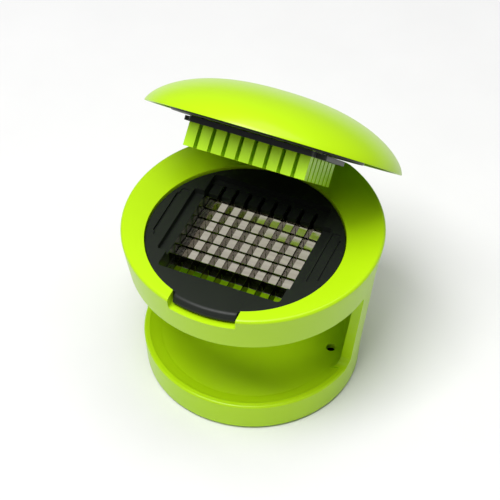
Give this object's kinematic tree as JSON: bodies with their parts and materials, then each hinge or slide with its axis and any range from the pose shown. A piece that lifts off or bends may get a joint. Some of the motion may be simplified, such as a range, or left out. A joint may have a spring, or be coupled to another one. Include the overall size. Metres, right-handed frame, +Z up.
{
  "type": "hand press vegetable dicer",
  "caption": "Palm-size press dicer: round open-front stand, drop-in grid of crossed blades, and a domed lid on a rear hinge with a square finger pusher.",
  "frame": {"origin": "centre of the non-slip pad's underside, where the dicer stands on the table", "axes": "+Z up, -Y towards the finger notch and the open front, +X to the right seen from the front; the lid hinge lies along X at the rear"},
  "size_m": [0.0896, 0.0934, 0.1207],
  "materials": {
    "lime_plastic": "gloss",
    "pusher_plastic": "satin",
    "black_plastic": "satin",
    "grey_plastic": "satin",
    "blade_steel": "brushed",
    "screw_steel": "satin",
    "pad_rubber": "matte"
  },
  "bodies": {
    "stand": {"body_shell": "lime_plastic", "base_cover": "black_plastic", "non_slip_pad": "pad_rubber", "cover_screw_1": "screw_steel", "cover_screw_2": "screw_steel", "cover_screw_3": "screw_steel", "hinge_pin": "screw_steel", "blade_carrier": "black_plastic", "blade_retaining_frame": "black_plastic", "lengthwise_blade_1": "blade_steel", "lengthwise_blade_2": "blade_steel", "lengthwise_blade_3": "blade_steel", "lengthwise_blade_4": "blade_steel", "lengthwise_blade_5": "blade_steel", "lengthwise_blade_6": "blade_steel", "lengthwise_blade_7": "blade_steel", "lengthwise_blade_8": "blade_steel", "cross_blade_1": "blade_steel", "cross_blade_2": "blade_steel", "cross_blade_3": "blade_steel", "cross_blade_4": "blade_steel", "cross_blade_5": "blade_steel", "cross_blade_6": "blade_steel", "cross_blade_7": "blade_steel"},
    "lid": {"lid_shell": "lime_plastic", "lid_liner": "black_plastic", "liner_screw_1": "screw_steel", "liner_screw_2": "screw_steel", "liner_screw_3": "screw_steel", "liner_screw_4": "screw_steel", "pusher_block": "pusher_plastic", "stripper_plate": "grey_plastic"}
  },
  "joints": [
    {"name": "lid_hinge", "type": "hinge", "parent": "stand", "child": "lid", "pos_m": [0, 0.0374, 0.0555], "axis": [-1, 0, 0], "range_deg": [-45.9, 30]}
  ]
}
